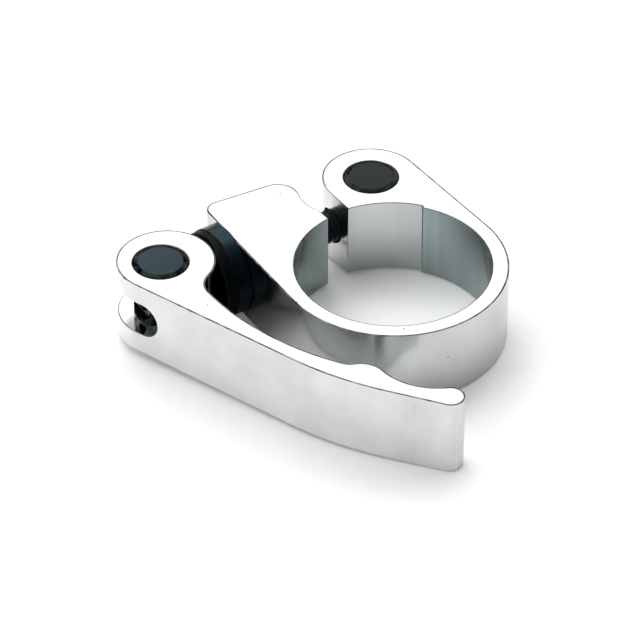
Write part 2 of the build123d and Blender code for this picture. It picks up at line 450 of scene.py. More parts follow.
@dataclass(frozen=True)
class EdgeShape:
    """Cross-section of an upright wall's top and bottom edge.

    Each row is how far in from the wall, how far below the face, and the normal's share
    outwards and upwards, from the wall to the face.
    """

    rows: Array

    @staticmethod
    def rounded(radius: float) -> "EdgeShape":
        """Quarter of a circle: in = r - r cos a, below = r - r sin a.

        Args:
            radius: Radius of the circle.

        Returns:
            The edge.
        """
        turn = np.radians(np.linspace(0.0, 90.0, 6))
        c, s = np.cos(turn), np.sin(turn)
        return EdgeShape(np.column_stack([radius - radius * c, radius - radius * s, c, s]))

    @staticmethod
    def rolled(width: float, height: float) -> "EdgeShape":
        """Edge rolled over in polishing, a quarter of an ellipse: in = w - w cos a, below = h - h sin a.

        Args:
            width: How far in it reaches.
            height: How far down.

        Returns:
            The edge.
        """
        turn = np.radians(np.linspace(0.0, 90.0, 10))
        c, s = np.cos(turn), np.sin(turn)
        lean = unit(np.column_stack([c / width, s / height]))
        return EdgeShape(np.column_stack([width - width * c, height - height * s, lean]))

    @staticmethod
    def bevelled(width: float, height: float, soft: float) -> "EdgeShape":
        """Bevel of a width in from the wall and a height down it, both its edges eased.

        The bevel's normal leans b = atan(width / height) up from the wall's. At an angle a, the
        lower arc lies soft (1 - cos a) in and height + soft tan(b / 2) - soft sin a down, and
        the upper one width + soft tan((90 - b) / 2) - soft cos a in and soft (1 - sin a) down.

        Args:
            width: How far in the bevel reaches.
            height: How far down.
            soft: Radius of its eased edges.

        Returns:
            The edge.
        """
        lean = math.atan2(width, height)
        low, high = np.linspace(0.0, lean, 5), np.linspace(lean, math.pi / 2, 4)
        low_cut = soft * math.tan(lean / 2)
        high_cut = soft * math.tan((math.pi / 2 - lean) / 2)
        inset = np.concatenate([soft - soft * np.cos(low), width + high_cut - soft * np.cos(high)])
        below = np.concatenate([height + low_cut - soft * np.sin(low), soft - soft * np.sin(high)])
        turn = np.concatenate([low, high])
        return EdgeShape(np.column_stack([inset, below, np.cos(turn), np.sin(turn)]))


@dataclass
class Wall:
    """One upright wall of a prism, with its edges and openings."""

    track: Track
    edge: EdgeShape
    openings: list[Opening] = field(default_factory=list)
    fine_edge: float = 1.0
    fine_within: float = 0.0
    split_half: ClassVar[float] = 3.0
    split_end: ClassVar[float] = 27.0

    def edge_share(self, plan: Array) -> Array:
        """Share of the edge's width at places of the plan: the fine share in the bore and the split.

        Args:
            plan: Places of the plan.

        Returns:
            One share for each place.
        """
        near_axis = np.linalg.norm(plan, axis=1) < self.fine_within
        in_width = np.abs(plan[:, 0]) < self.split_half
        in_split = in_width & (plan[:, 1] > 0) & (plan[:, 1] < self.split_end)
        fine = (near_axis | in_split) & (self.fine_within > 0)
        return np.where(fine, self.fine_edge, 1.0)

    def place(self, spots: Array, low: float) -> tuple[Array, Array]:
        """Turns places on the wall, by length and height, into points and normals.

        Args:
            spots: Places on the wall.
            low: Level of the wall's foot.

        Returns:
            Points and normals.
        """
        plan, out = self.track.at(spots[:, 0])
        depth = np.zeros(len(spots))
        lean = np.zeros(len(spots))
        way = np.zeros((len(spots), 2))
        for opening in self.openings:
            if opening.rim:
                more, share, towards = opening.sink(spots)
                near = more > 0
                depth[near], lean[near], way[near] = more[near], share[near], towards[near]
        along = np.column_stack([-out[:, 1], out[:, 0]])
        points = np.column_stack([plan - out * depth[:, None], spots[:, 1] + low])
        flat = np.column_stack([out, np.zeros(len(spots))])
        side = np.column_stack([along * way[:, :1], way[:, 1]])
        stand = np.sqrt(np.maximum(1 - lean**2, 0.0))
        return points, unit(flat * stand[:, None] + side * lean[:, None])

    def rim_loop(self, opening: Opening, low: float) -> Array:
        """Points of an opening's inner outline, at the full depth of its rim.

        Args:
            opening: The opening.
            low: Level of the wall's foot.

        Returns:
            The points.
        """
        loop = opening.loop()
        plan, out = self.track.at(loop[:, 0])
        return np.column_stack([plan - out * opening.rim, loop[:, 1] + low])


@dataclass
class Prism:
    """Upright body between two levels, from closed plan walls. The first wall is the outside."""

    walls: list[Wall]
    low: float
    high: float

    def add_to(self, skin: Skin) -> None:
        """Adds the walls, their edges and the two flat faces to a skin.

        Args:
            skin: Where the surface is gathered.
        """
        rims = []
        for wall in self.walls:
            self.add_wall(skin, wall)
            inset = wall.edge.rows[-1, 0] * wall.edge_share(wall.track.rows[:, :2])[:, None]
            rims.append(wall.track.rows[:, :2] - wall.track.rows[:, 2:] * inset)
        spots, faces = tile(rims, np.empty((0, 4)), rims[0], rims[1:])
        for level, up in ((self.high, 1.0), (self.low, -1.0)):
            points = np.column_stack([spots, np.full(len(spots), level)])
            skin.add(points, np.tile([0.0, 0.0, up], (len(spots), 1)), faces)

    def add_wall(self, skin: Skin, wall: Wall) -> None:
        """Adds one wall with its openings, and its top and bottom edges.

        Args:
            skin: Where the surface is gathered.
            wall: The wall.
        """
        drop = wall.edge.rows[0, 1]
        height = self.high - self.low
        run = wall.track.run
        foot, head = np.full(len(run), drop), np.full(len(run), height - drop)
        rails = np.column_stack([run, foot, run, head])
        border = np.vstack([rails[:, :2], rails[::-1, 2:]])
        loops, holes = [border], []
        for opening in wall.openings:
            grown = np.linspace(0.0, 1.0, 5) if opening.rim else np.zeros(1)
            steps = opening.rim * (1 - np.cos(grown * math.pi / 2))
            loops += [opening.loop(step) for step in steps]
            holes.append(opening.loop())
        spots, faces = tile(loops, rails, None, holes)
        skin.add(*wall.place(spots, self.low), faces)
        plan, out = wall.track.closed[:, :2], wall.track.closed[:, 2:]
        inset, below, aside, above = (wall.edge.rows[:, k, None] for k in range(4))
        inset = inset * wall.edge_share(plan)[None, :]
        for level, up in ((self.high, 1.0), (self.low, -1.0)):
            x = plan[None, :, 0] - out[None, :, 0] * inset
            y = plan[None, :, 1] - out[None, :, 1] * inset
            z = np.broadcast_to(level - up * below, x.shape)
            lie = [out[None, :, 0] * aside, out[None, :, 1] * aside]
            normal = np.stack([*lie, np.broadcast_to(up * above, x.shape)], axis=-1)
            skin.grid(np.stack([x, y, z], axis=-1), unit(normal))


def tunnel(skin: Skin, first: Array, last: Array, rows: int) -> None:
    """Adds the inner wall between two loops of matching points, straight from one to the other.

    Args:
        skin: Where the surface is gathered.
        first: One loop.
        last: The other loop.
        rows: Loops from end to end.
    """
    share = np.linspace(0.0, 1.0, rows)[:, None, None]
    points = first[None] * (1 - share) + last[None] * share
    normals = grid_normals(points, points.mean(axis=1))
    skin.grid(closed_columns(points), closed_columns(normals))


def by_angle(loop: Array, centre: Array) -> Array:
    """A loop's points in order of their angle about an axis along X."""
    angle = np.arctan2(loop[:, 2] - centre[1], loop[:, 1] - centre[0])
    return loop[np.argsort(angle)]


def spin(skin: Skin, profile: Array, centre: Array, steps: int = 144) -> None:
    """Adds the surface of a profile turned about an axis along X.

    Each profile row is x, radius and the normal's share along x and outwards. A point is
    (x, centre y + radius cos a, centre z + radius sin a).

    Args:
        skin: Where the surface is gathered.
        profile: Rows of the profile.
        centre: Y and Z of the axis.
        steps: Faces round the axis.
    """
    turn = np.linspace(0.0, 2 * math.pi, steps + 1)[None, :]
    x, r, nx, nr = (profile[:, k, None] for k in range(4))
    full = np.broadcast_to(x, (len(profile), steps + 1))
    points = np.stack([full, centre[0] + r * np.cos(turn), centre[1] + r * np.sin(turn)], axis=-1)
    side = np.broadcast_to(nx, full.shape)
    skin.grid(points, unit(np.stack([side, nr * np.cos(turn), nr * np.sin(turn)], axis=-1)))


# Sizes shared by the sub-assemblies


@dataclass(frozen=True)
class Layout:
    """Where the clamp's parts stand, the same as in the frame."""

    bore_radius: float = 17.45
    ring_wall: float = 3.0
    height: float = 14.6
    split_near: float = -1.9
    split_far: float = 2.7
    bolt_y: float = 23.5
    bolt_radius: float = 3.0
    pin_radius: float = 5.0
    pin_fit: float = 0.05
    pin_proud: float = 0.25
    near_taper: float = 3.2
    washer_radius: float = 8.3
    washer_thickness: float = 3.35
    saddle_radius: float = 8.1
    saddle_web: float = 0.95
    saddle_bore_radius: float = 10.03

    @property
    def outer_radius(self) -> float:
        """Outside of the ring."""
        return self.bore_radius + self.ring_wall

    @property
    def middle(self) -> float:
        """Height of the bolt's axis."""
        return self.height / 2

    @property
    def far_lug_radius(self) -> float:
        """Full round end between the split and the ring's outer side."""
        return (self.outer_radius - self.split_far) / 2

    @property
    def nut_x(self) -> float:
        """Barrel nut's axis."""
        return self.outer_radius - self.far_lug_radius

    @property
    def seat_x(self) -> float:
        """Where the near lug's outer side, a tangent of the ring, crosses the bolt's axis."""
        taper = math.radians(self.near_taper)
        return (self.bolt_y * math.sin(taper) - self.outer_radius) / math.cos(taper)

    @property
    def washer_face_x(self) -> float:
        """Washer's front face."""
        return self.seat_x - self.washer_thickness

    @property
    def pin_x(self) -> float:
        """Lever pin's axis."""
        return self.washer_face_x - self.saddle_web - self.saddle_bore_radius

    @property
    def bolt_line(self) -> Array:
        """Y and Z of the bolt's axis."""
        return np.array([self.bolt_y, self.middle])


# Finishes


class Metal(Enum):
    """How a metal's marks run."""

    DRAWN = "drawn along Z"
    TURNED_Z = "turned about an axis along Z"
    TURNED_X = "turned about the bolt's axis"


@dataclass
class Graph:
    """Short hand for a material's node tree."""

    material: bpy.types.Material

    def add(self, kind: str, inputs: dict | None = None, **settings) -> bpy.types.Node:
        """Adds a node, sets its properties and fills or links its inputs.

        Args:
            kind: Type of the node.
            inputs: Values or sockets by the input's name.
            **settings: The node's properties.

        Returns:
            The node.
        """
        node = self.material.node_tree.nodes.new(kind)
        for name, value in settings.items():
            setattr(node, name, value)
        for name, value in (inputs or {}).items():
            if isinstance(value, Socket):
                self.material.node_tree.links.new(value, node.inputs[name])
            else:
                node.inputs[name].default_value = value
        return node

    def maths(self, operation: str, *values: float | Socket) -> Socket:
        """Result of a Math node."""
        return self.add("ShaderNodeMath", dict(enumerate(values)), operation=operation).outputs[0]

    def spread(self, value: Socket, span: Span) -> Socket:
        """Value carried from its first range to its second, and held there."""
        keys = dict(zip(("From Min", "From Max", "To Min", "To Max"), span))
        return self.add("ShaderNodeMapRange", {"Value": value, **keys}).outputs[0]

    def noise(self, place: Socket, scale: Triple, detail: float = 3.0) -> Socket:
        """Noise whose grain is one over the scale, in millimetres along each axis.

        Args:
            place: Object coordinates.
            scale: One over the grain's size, along each axis.
            detail: How fine it gets.

        Returns:
            The noise, from 0 to 1.
        """
        fitted = self.add("ShaderNodeMapping", {"Vector": place, "Scale": [s / MM for s in scale]})
        keys = {"Vector": fitted.outputs[0], "Scale": 1.0, "Detail": detail}
        return self.add("ShaderNodeTexNoise", keys).outputs[0]

    def blend(self, share: Socket, first: tuple | Socket, second: tuple | Socket) -> Socket:
        """Colour between two others.

        Args:
            share: Share of the second colour.
            first: One colour.
            second: The other colour.

        Returns:
            The colour between them.
        """
        node = self.add("ShaderNodeMix", data_type="RGBA")
        for socket, value in ((0, share), (6, first), (7, second)):
            if isinstance(value, Socket):
                self.material.node_tree.links.new(value, node.inputs[socket])
            else:
                node.inputs[socket].default_value = value
        return node.outputs[2]

    def weigh(self, first: Socket, second: Socket, share: float) -> Socket:
        """Sum of a share of the first value and the rest of the second."""
        part = self.maths("MULTIPLY", first, share)
        return self.maths("ADD", part, self.maths("MULTIPLY", second, 1.0 - share))

    def radius(self, first: Socket, second: Socket) -> Socket:
        """Distance from an axis, from the two places across it."""
        square = [self.maths("POWER", value, 2.0) for value in (first, second)]
        return self.maths("SQRT", self.maths("ADD", *square))


@dataclass(frozen=True)
class Nick:
    """A small dark nick at one place, and how far it reaches along each axis."""

    centre: Triple
    reach: Triple
    colour: ClassVar[Span] = (0.05, 0.06, 0.06, 1.0)

    def mask(self, graph: Graph, place: Socket) -> Socket:
        """Share of the nick: full out to half its reach, and none past it.

        Args:
            graph: The material's nodes.
            place: Object coordinates.

        Returns:
            The share.
        """
        centre, reach = ([value * MM for value in row] for row in (self.centre, self.reach))
        keys = {"Vector": place, "Location": centre, "Scale": reach}
        near = graph.add("ShaderNodeMapping", keys, vector_type="TEXTURE").outputs[0]
        away = graph.add("ShaderNodeVectorMath", {0: near}, operation="LENGTH").outputs["Value"]
        return graph.spread(away, (0.5, 1.0, 1.0, 0.0))


@dataclass(frozen=True)
class Finish:
    """One surface finish: its colours, its gloss and the marks its making left.

    The edge colour is painted on every bevel and rounded edge, with the gloss taken off there: a painted
    dark reflection line on the alloy, the oxide steel and the washer, and a painted highlight on the bolt
    and the saddle.
    """

    name: str
    colour: Triple
    tint: Triple
    # Painted edge colour: a dark reflection line on most finishes, a highlight on the bolt and saddle.
    edge: Triple
    gloss: float
    gloss_spread: float
    marks: Metal
    mark_depth: float
    axis: tuple[float, float] = (0.0, 0.0)
    metallic: float = 1.0
    specular: float = 0.5
    specks: float = 0.0
    # Share of the colour kept on the bore's wall: painted shade of the bore's inside.
    bore: Triple = (1.0, 1.0, 1.0)
    # Span of the normal's lean where the painted edge colour goes.
    painted_edge_span: Span = (0.1, 0.3, 0.965, 0.985)
    satin_side: tuple[float, float] = (0.0, 0.0)
    satin_colour: Triple = (0.95, 0.935, 0.94)
    satin_metallic: float = 0.45
    satin_gloss: float = 0.3
    nicks: tuple[Nick, ...] = ()
    speck_colour: ClassVar[Span] = (0.06, 0.07, 0.07, 1.0)
    satin_fade: ClassVar[float] = 0.88
    bore_fade: ClassVar[tuple[float, float]] = (17.6, 17.75)

    def material(self) -> bpy.types.Material:
        """Builds the node material.

        Returns:
            The material.
        """
        made = bpy.data.materials.new(self.name)
        made.use_nodes = True
        graph = Graph(made)
        shader = made.node_tree.nodes["Principled BSDF"]
        where = graph.add("ShaderNodeTexCoord")
        place = where.outputs["Object"]
        marks = self.lines(graph, place, where.outputs["Normal"])
        cloud = graph.noise(place, (0.12, 0.12, 0.12), 4.0)
        grain = graph.noise(place, (9.0, 9.0, 9.0), 2.0)
        worn = graph.weigh(cloud, marks, 0.6)
        gloss = (self.gloss - self.gloss_spread, self.gloss + self.gloss_spread)
        rough = graph.spread(worn, (0.3, 0.7, *gloss))
        tinted = graph.spread(worn, (0.35, 0.65, 0.0, 1.0))
        colour = graph.blend(tinted, (*self.colour, 1.0), (*self.tint, 1.0))
        # Painted shade on the bore's wall.
        if self.bore != (1.0, 1.0, 1.0):
            colour = self.bore_shade(graph, place, colour)
        if self.specks:
            colour = graph.blend(self.speck_mask(graph, place), colour, self.speck_colour)
        metallic = self.metallic
        if self.satin_side != (0.0, 0.0):
            satin = self.satin_mask(graph, where.outputs["Normal"])
            mottled = graph.spread(graph.weigh(cloud, marks, 0.85), (0.38, 0.62, 0.0, 1.0))
            faded = (*[c * self.satin_fade for c in self.satin_colour], 1.0)
            colour = graph.blend(satin, colour, graph.blend(mottled, faded, (*self.satin_colour, 1.0)))
            rough = graph.maths("ADD", rough, graph.maths("MULTIPLY", satin, self.satin_gloss - self.gloss))
            lost = graph.maths("MULTIPLY", satin, 1.0 - self.satin_metallic)
            metallic = graph.maths("SUBTRACT", metallic, lost)
        for nick in self.nicks:
            colour = graph.blend(nick.mask(graph, place), colour, nick.colour)
        # Painted reflection on the edges: the edge colour takes the metal's place, with metallic and
        # specular taken off there.
        edge = self.painted_edge_reflection_mask(graph, place, where.outputs["Normal"])
        colour = graph.blend(edge, colour, (*self.edge, 1.0))
        kept = graph.maths("SUBTRACT", 1.0, edge)
        links = made.node_tree.links
        for name, value in (("Metallic", metallic), ("Specular IOR Level", self.specular)):
            links.new(graph.maths("MULTIPLY", kept, value), shader.inputs[name])
        height = graph.maths("ADD", marks, graph.maths("MULTIPLY", grain, 0.25))
        keys = {"Strength": 1.0, "Distance": self.mark_depth * MM, "Height": height}
        bump = graph.add("ShaderNodeBump", keys)
        links.new(colour, shader.inputs["Base Color"])
        links.new(rough, shader.inputs["Roughness"])
        links.new(bump.outputs[0], shader.inputs["Normal"])
        return made

    def satin_mask(self, graph: Graph, normal: Socket) -> Socket:
        """One on the walls that face the satin side, which is ground and not polished.

        Args:
            graph: The material's nodes.
            normal: The surface's normal.

        Returns:
            The share of satin.
        """
        keys = {0: normal, 1: (*self.satin_side, 0.0)}
        facing = graph.add("ShaderNodeVectorMath", keys, operation="DOT_PRODUCT").outputs["Value"]
        return graph.spread(facing, (0.2, 0.5, 0.0, 1.0))

    def painted_edge_reflection_mask(self, graph: Graph, place: Socket, normal: Socket) -> Socket:
        """One on bevels and rounded edges, whose normal leans away from the part's three axes; the painted
        edge reflection goes there.

        On an upright prism the share of the normal along Z is 0 on a wall and 1 on a face; on a
        turned disc the same holds along X. In between lies the edge, a little uneven.

        Args:
            graph: The material's nodes.
            place: Object coordinates.
            normal: The surface's normal.

        Returns:
            The share of edge.
        """
        part = graph.add("ShaderNodeSeparateXYZ", {"Vector": normal})
        along = part.outputs[0 if self.marks is Metal.TURNED_X else 2]
        lean = graph.maths("ABSOLUTE", along)
        uneven = graph.spread(graph.noise(place, (0.5, 0.5, 0.5), 3.0), (0.35, 0.65, 0.75, 1.0))
        past_wall = graph.spread(lean, (*self.painted_edge_span[:2], 0.0, 1.0))
        before_face = graph.spread(lean, (*self.painted_edge_span[2:], 1.0, 0.0))
        return graph.maths("MULTIPLY", graph.maths("MULTIPLY", past_wall, before_face), uneven)

    def speck_mask(self, graph: Graph, place: Socket) -> Socket:
        """One on a few tiny nicks, the middles of one cell in about twenty.

        Args:
            graph: The material's nodes.
            place: Object coordinates.

        Returns:
            The share of nick.
        """
        keys = {"Vector": place, "Scale": 0.42 / MM}
        cells = graph.add("ShaderNodeTexVoronoi", keys)
        near = graph.spread(cells.outputs["Distance"], (0.04, 0.09, 1.0, 0.0))
        picked = graph.add("ShaderNodeSeparateColor", {"Color": cells.outputs["Color"]}).outputs[0]
        few = graph.maths("GREATER_THAN", picked, 1.0 - self.specks)
        return graph.maths("MULTIPLY", near, few)

    def bore_shade(self, graph: Graph, place: Socket, colour: Socket) -> Socket:
        """Paints shade on the bore's wall up to the start of the relief: darker and greener, broken by
        lighter vertical streaks of painted reflection.

        Args:
            graph: The material's nodes.
            place: Object coordinates.
            colour: The metal's colour.

        Returns:
            The colour.
        """
        part = graph.add("ShaderNodeSeparateXYZ", {"Vector": place})
        radius = graph.radius(part.outputs[0], part.outputs[1])
        near = graph.spread(radius, (*[reach * MM for reach in self.bore_fade], 1.0, 0.0))
        streak = graph.spread(graph.noise(place, (0.9, 0.9, 0.02), 4.0), (0.35, 0.7, 1.0, 0.72))
        painted_bore_shade = (*[c * b for c, b in zip(self.colour, self.bore)], 1.0)
        return graph.blend(graph.maths("MULTIPLY", near, streak), colour, painted_bore_shade)

    def lines(self, graph: Graph, place: Socket, normal: Socket) -> Socket:
        """Height of the tool marks, from 0 to 1.

        Args:
            graph: The material's nodes.
            place: Object coordinates.
            normal: The surface's normal.

        Returns:
            The height.
        """
        if self.marks is Metal.DRAWN:
            upright = graph.noise(place, (4.0, 4.0, 0.05), 4.0)
            milled = graph.noise(place, (0.35, 7.0, 7.0), 3.0)
            up = graph.add("ShaderNodeSeparateXYZ", {"Vector": normal}).outputs[2]
            flat = graph.spread(graph.maths("ABSOLUTE", up), (0.6, 0.9, 0.0, 1.0))
            on_walls = graph.maths("MULTIPLY", upright, graph.maths("SUBTRACT", 1.0, flat))
            return graph.maths("ADD", on_walls, graph.maths("MULTIPLY", milled, flat))
        first, second, along = (0, 1, 2) if self.marks is Metal.TURNED_Z else (1, 2, 0)
        shift = [0.0, 0.0, 0.0]
        shift[first], shift[second] = (-value * MM for value in self.axis)
        centred = graph.add("ShaderNodeMapping", {"Vector": place, "Location": shift})
        part = graph.add("ShaderNodeSeparateXYZ", {"Vector": centred.outputs[0]})
        radius = graph.radius(part.outputs[first], part.outputs[second])
        keys = {"W": graph.maths("ADD", radius, part.outputs[along]), "Scale": 5.0 / MM, "Detail": 2.0}
        return graph.add("ShaderNodeTexNoise", keys, noise_dimensions="1D").outputs[0]


# Sub-assemblies


@dataclass
class ClampRing:
    """Split ring with its two lugs, one extruded section cut to height."""

    plan: Layout
    corner: float = 0.25
    edge_width: float = 0.4
    edge_height: float = 0.05
    fine_edge: float = 0.6
    fine_margin: float = 0.3
    hole_rim: float = 0.2
    relief_depth: float = 0.6
    relief_start: float = 37.5
    lug_reach: float = 9.8
    end_lean: float = 6.0
    outer_corner: float = 2.4
    inner_corner: float = 3.8
    hollow_depth: float = 0.75
    hollow_width: float = 6.6
    hollow_past_bolt: float = 0.3
    hollow_at_hole: float = 0.6
    hole_radius: float = 3.4

    def outline(self) -> Array:
        """Closed plan outline, from the near lug round the outside and back along the bore.

        Returns:
            Rows of the closed curve.
        """
        p = self.plan
        top = p.bolt_y + self.lug_reach
        outer = np.array([p.seat_x + self.lug_reach * math.tan(math.radians(p.near_taper)), top])
        drop = (p.split_near - outer[0]) * math.tan(math.radians(self.end_lean))
        inner = np.array([p.split_near, top - drop])
        tangent = 180.0 - p.near_taper
        hollow_radius = (self.hollow_width**2 / 4 + self.hollow_depth**2) / (2 * self.hollow_depth)
        hollow_y = p.bolt_y + self.hollow_past_bolt
        hollow_centre = np.array([p.split_near - self.hollow_depth + hollow_radius, hollow_y])
        half = self.hollow_width / 2
        hollow_deg = math.degrees(math.asin(half / hollow_radius))
        deep = p.bore_radius + self.relief_depth
        far_deg = math.degrees(math.acos(p.split_far / deep))
        near_deg = math.degrees(math.acos(p.split_near / p.bore_radius))
        c, zero = self.corner, np.zeros(2)
        runs = [
            (line(inner, outer), self.outer_corner),
            (line(outer, polar(tangent, p.outer_radius)), c),
            (arc(zero, p.outer_radius, tangent, 360.0 - tangent), c),
            (line([p.outer_radius, 0.0], [p.outer_radius, p.bolt_y]), c),
            (arc([p.nut_x, p.bolt_y], p.far_lug_radius, 0.0, 180.0), c),
            (line([p.split_far, p.bolt_y], polar(far_deg, deep)), c),
            (arc(zero, deep, far_deg, self.relief_start - far_deg), c),
            (line(polar(self.relief_start, deep), polar(self.relief_start, p.bore_radius)), c),
            (arc(zero, p.bore_radius, self.relief_start, near_deg - 360.0 - self.relief_start), c),
            (line(polar(near_deg, p.bore_radius), [p.split_near, hollow_y - half]), c),
            (arc(hollow_centre, hollow_radius, 180.0 + hollow_deg, -2 * hollow_deg), c),
            (line([p.split_near, hollow_y + half], inner), self.inner_corner),
        ]
        return close_curve(runs)

    def build(self) -> bpy.types.Object:
        """Builds the ring with the bolt's hole and the barrel nut's hole.

        Returns:
            The finished piece.
        """
        p = self.plan
        outside = Track(self.outline())
        nut_hole = p.pin_radius + p.pin_fit
        hole = Track(arc([p.nut_x, p.bolt_y], nut_hole, 0.0, -360.0)[:-1])
        pierced = (p.seat_x, p.split_near - self.hollow_at_hole, p.split_far)
        runs = [outside.run_near(np.array([x, p.bolt_y])) for x in pierced]
        seat, near, far = (Opening(run, p.middle, self.hole_radius, rim=self.hole_rim) for run in runs)
        deep = Opening(math.pi * nut_hole, p.middle, self.hole_radius, bend=nut_hole)
        edge = EdgeShape.rolled(self.edge_width, self.edge_height)
        fine_within = p.bore_radius + self.relief_depth + self.fine_margin
        ring = Wall(outside, edge, [seat, near, far], self.fine_edge, fine_within)
        bore = Wall(hole, EdgeShape.rounded(HOLE_EDGE_MM), [deep])
        skin = Skin()
        Prism([ring, bore], 0.0, p.height).add_to(skin)
        for first, last, far_wall in ((seat, near, ring), (far, deep, bore)):
            ends = (ring.rim_loop(first, 0.0), far_wall.rim_loop(last, 0.0))
            tunnel(skin, *[by_angle(end, p.bolt_line) for end in ends], rows=5)
        return skin.build("split_ring")


@dataclass
class CamLever:
    """One-piece lever, with a cam head forked by the bolt's slot."""

    plan: Layout
    edge_width: float = 0.4
    edge_height: float = 0.05
    slot_rim: float = 0.22
    cam_radius: float = 8.8
    cam_throw: float = 1.03
    cam_throw_deg: float = -5.0
    slot_height: float = 6.6
    slot_start: float = -3.0
    slot_end: float = 213.0
    arm_deg: float = -71.2
    arm_length: float = 43.6
    bend_radius: float = 60.0
    tip_deg: float = -54.0
    tip_length: float = 22.5
    neck_fillet: float = 4.6
    inner_radius: float = 51.6
    waist: float = 2.95
    waist_along: float = 29.7
    heel_fillet: float = 2.6
    crest: float = 6.0
    crest_radius: float = 4.6
    scoop: float = 3.2
    scoop_radius: float = 11.4
    tip_radius: float = 2.45

    def outline(self) -> Array:
        """Closed plan outline about the pin, starting where the outer side begins to bend.

        Returns:
            Rows of the closed curve.
        """
        run, inward = polar(self.arm_deg), polar(self.arm_deg + 90)
        tip_run, tip_in = polar(self.tip_deg), polar(self.tip_deg + 90)
        cam = polar(self.cam_throw_deg, self.cam_throw)
        head_side = cam - inward * self.cam_radius
        corner = head_side + run * self.arm_length
        reach = self.bend_radius * math.tan(math.radians(self.tip_deg - self.arm_deg) / 2)
        bend_start, bend_end = corner - run * reach, corner + tip_run * reach
        tip_end = corner + tip_run * self.tip_length
        tip_drop = 2 * self.tip_radius - self.scoop
        crest_drop = self.crest - self.scoop
        scoop_back = self.tip_radius + math.sqrt(
            tip_drop * (2 * self.scoop_radius + 2 * self.tip_radius - tip_drop)
        )
        crest_back = scoop_back + math.sqrt(
            crest_drop * (2 * self.scoop_radius + 2 * self.crest_radius - crest_drop)
        )
        tip = tip_end - tip_run * self.tip_radius + tip_in * self.tip_radius
        scoop = tip_end - tip_run * scoop_back + tip_in * (self.scoop + self.scoop_radius)
        crest = tip_end - tip_run * crest_back + tip_in * (self.crest - self.crest_radius)
        hollow = head_side + run * self.waist_along + inward * (self.waist + self.inner_radius)
        heel = circles_meet(
            crest, self.crest_radius + self.heel_fillet, hollow, self.inner_radius - self.heel_fillet
        )
        neck = circles_meet(
            hollow, self.inner_radius - self.neck_fillet, cam, self.cam_radius + self.neck_fillet
        )
        tip_foot = tip - tip_in * self.tip_radius
        tip_to_scoop = touch(tip, self.tip_radius, scoop)
        scoop_to_crest = touch(crest, self.crest_radius, scoop)
        crest_to_heel = touch(crest, self.crest_radius, heel)
        heel_to_arm = touch(hollow, self.inner_radius, heel)
        arm_to_neck = touch(hollow, self.inner_radius, neck)
        neck_to_head = touch(cam, self.cam_radius, neck)
        bend_centre = bend_start + inward * self.bend_radius
        runs = [
            arc_between(bend_centre, bend_start, bend_end, True),
            line(bend_end, tip_foot),
            arc_between(tip, tip_foot, tip_to_scoop, True),
            arc_between(scoop, tip_to_scoop, scoop_to_crest, False),
            arc_between(crest, scoop_to_crest, crest_to_heel, True),
            arc_between(heel, crest_to_heel, heel_to_arm, False),
            arc_between(hollow, heel_to_arm, arm_to_neck, False),
            arc_between(neck, arm_to_neck, neck_to_head, False),
            arc_between(cam, neck_to_head, head_side, True),
            line(head_side, bend_start),
        ]
        return close_curve([(rows, 0.1) for rows in runs])

    def build(self) -> bpy.types.Object:
        """Builds the lever with its pin's hole and the round-ended slot for the bolt.

        Returns:
            The finished piece.
        """
        p = self.plan
        outside = Track(self.outline())
        runs = np.linspace(outside.run[-1] / 2, outside.run[-1], 4001)
        head = outside.at(runs)[0]
        angle = np.degrees(np.unwrap(np.arctan2(head[:, 1], head[:, 0])))
        angle += 360.0 * round((self.slot_end - angle[-1]) / 360.0)
        slot_runs = np.interp([self.slot_start, self.slot_end], angle, runs)
        middle, half = slot_runs.mean(), (slot_runs[1] - slot_runs[0]) / 2
        radius = self.slot_height / 2
        slot = Opening(middle, p.middle, radius, half_run=half, rim=self.slot_rim)
        pin_hole = p.pin_radius + p.pin_fit
        seam = (self.slot_end + self.slot_start) / 2 - 180.0
        hole = Track(arc([0.0, 0.0], pin_hole, seam, -360.0)[:-1])
        span = math.radians(self.slot_end - self.slot_start)
        inner = Opening(
            math.pi * pin_hole, p.middle, radius, half_run=pin_hole * span / 2, bend=pin_hole, mirrored=True
        )
        body = Wall(outside, EdgeShape.rolled(self.edge_width, self.edge_height), [slot])
        bore = Wall(hole, EdgeShape.rounded(HOLE_EDGE_MM), [inner])
        skin = Skin()
        Prism([body, bore], 0.0, p.height).add_to(skin)
        tunnel(skin, body.rim_loop(slot, 0.0), bore.rim_loop(inner, 0.0), rows=6)
        for points in skin.points:
            points[:, :2] += [p.pin_x, p.bolt_y]
        return skin.build("cam_lever")


@dataclass
class CrossPin:
    """Round pin with wide shallow bevels, a little proud, with a cross hole for the bolt."""

    plan: Layout
    name: str
    x: float
    bevel_width: float = 1.0
    bevel_height: float = 0.3
    hole_radius: float = 3.06

    def build(self) -> bpy.types.Object:
        """Builds the pin, its two bevelled ends and the hole from side to side.

        Returns:
            The finished piece.
        """
        p = self.plan
        radius, reach = p.pin_radius, self.hole_radius
        side = Track(arc([self.x, p.bolt_y], radius, -90.0, 360.0)[:-1])
        height = p.height + 2 * p.pin_proud
        quarter = side.run[-1] / 4
        openings = [Opening(quarter * k, height / 2, reach, bend=radius) for k in (1, 3)]
        wall = Wall(side, EdgeShape.bevelled(self.bevel_width, self.bevel_height, 0.1), openings)
        skin = Skin()
        Prism([wall], -p.pin_proud, p.height + p.pin_proud).add_to(skin)
        loops = [by_angle(wall.rim_loop(opening, -p.pin_proud), p.bolt_line) for opening in openings]
        tunnel(skin, *loops, rows=5)
        return skin.build(self.name)


